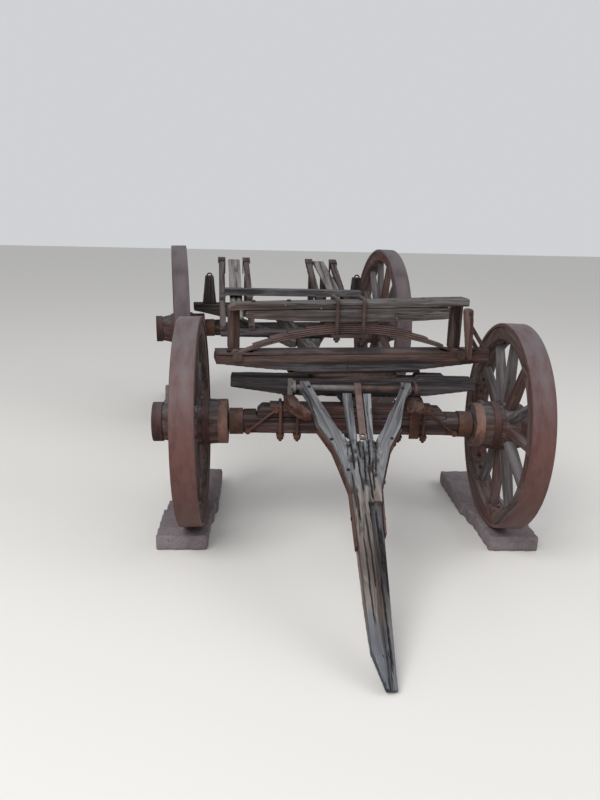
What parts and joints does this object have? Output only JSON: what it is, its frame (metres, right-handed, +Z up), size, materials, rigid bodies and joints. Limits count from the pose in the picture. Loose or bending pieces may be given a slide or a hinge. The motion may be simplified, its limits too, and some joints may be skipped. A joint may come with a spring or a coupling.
{
  "type": "wagon running gear",
  "caption": "Weathered running gear of a heavy horse-drawn wagon: wooden wheels with iron tyres, steered front bolster on a cross spring, dropped tongue, rear skids, on concrete pads.",
  "frame": {"origin": "middle of the bounding box's underside, on the ground under the pads", "axes": "+Z up, +X to the wagon's own left across the axles, -Y towards the tongue, the front"},
  "size_m": [1.8214, 3.8658, 1.2124],
  "materials": {
    "tyre_iron": "rusted wrought iron, worn smooth, purple-brown",
    "band_iron": "rusted wrought iron",
    "arm_iron": "dark greased iron",
    "rusty_iron": "rusted wrought iron",
    "wheel_wood": "weathered bare hardwood",
    "dark_wood": "dark weathered timber with worn paint",
    "bolster_wood": "weathered timber",
    "skid_wood": "weathered reddish-brown timber",
    "tongue_wood": "silvered, cracked timber",
    "board_wood": "silver-grey weathered board",
    "concrete": "rough cast concrete"
  },
  "bodies": {
    "root": {"rear_axle": "dark_wood", "rear_axle_arms": "arm_iron", "reach": "dark_wood", "king_pin": "rusty_iron", "spring_beam": "dark_wood", "spring_beam_irons": "rusty_iron", "leaf_spring": "rusty_iron", "lower_bolster_plank": "bolster_wood", "upper_bolster_plank": "bolster_wood", "spring_clips": "rusty_iron", "bolster_posts": "bolster_wood", "guard_post": "bolster_wood", "guard_brace": "rusty_iron", "rear_hounds": "dark_wood", "rear_bolster": "dark_wood", "rear_stakes": "dark_wood", "cross_bar": "skid_wood", "skids": "skid_wood", "skid_posts": "skid_wood", "skid_beam": "skid_wood", "skid_irons": "rusty_iron", "skid_boards": "board_wood", "front_pads": "concrete", "rear_pads": "concrete"},
    "front_gear": {"front_axle": "dark_wood", "front_axle_arms": "arm_iron", "front_axle_bed": "dark_wood", "front_hounds": "dark_wood", "sand_bolster": "dark_wood", "lower_rub_plate": "rusty_iron", "front_axle_irons": "rusty_iron", "tongue_pin": "rusty_iron"},
    "tongue": {"tongue": "tongue_wood", "tongue_boards": "tongue_wood", "tongue_irons": "rusty_iron"},
    "front_left_wheel": {"front_left_tyre": "tyre_iron", "front_left_felloes": "wheel_wood", "front_left_spokes": "wheel_wood", "front_left_hub": "wheel_wood", "front_left_hub_bands": "band_iron"},
    "front_right_wheel": {"front_right_tyre": "tyre_iron", "front_right_felloes": "wheel_wood", "front_right_spokes": "wheel_wood", "front_right_hub": "wheel_wood", "front_right_hub_bands": "band_iron"},
    "rear_left_wheel": {"rear_left_tyre": "tyre_iron", "rear_left_felloes": "wheel_wood", "rear_left_spokes": "wheel_wood", "rear_left_hub": "wheel_wood", "rear_left_hub_bands": "band_iron"},
    "rear_right_wheel": {"rear_right_tyre": "tyre_iron", "rear_right_felloes": "wheel_wood", "rear_right_spokes": "wheel_wood", "rear_right_hub": "wheel_wood", "rear_right_hub_bands": "band_iron"}
  },
  "joints": [
    {"name": "steering", "type": "hinge", "parent": "root", "child": "front_gear", "pos_m": [-0.01172, -0.74107, 0.78], "axis": [0, 0, 1], "range_deg": [-22.9, 37.1]},
    {"name": "tongue_lift", "type": "hinge", "parent": "front_gear", "child": "tongue", "pos_m": [-0.02359, -0.83634, 0.738], "axis": [-0.9923, 0.1236, 0], "range_deg": [0, 38]},
    {"name": "front_left_wheel_turn", "type": "hinge", "parent": "front_gear", "child": "front_left_wheel", "pos_m": [0.70447, -0.83028, 0.5465], "axis": [0.9921, -0.1236, -0.0227], "continuous": true},
    {"name": "front_right_wheel_turn", "type": "hinge", "parent": "front_gear", "child": "front_right_wheel", "pos_m": [-0.72792, -0.65187, 0.5465], "axis": [-0.9921, 0.1236, -0.0227], "continuous": true},
    {"name": "rear_left_wheel_turn", "type": "hinge", "parent": "root", "child": "rear_left_wheel", "pos_m": [0.71218, 1.27793, 0.6425], "axis": [0.9997, 0, -0.0227], "continuous": true},
    {"name": "rear_right_wheel_turn", "type": "hinge", "parent": "root", "child": "rear_right_wheel", "pos_m": [-0.73563, 1.27793, 0.6425], "axis": [-0.9997, 0, -0.0227], "continuous": true}
  ]
}
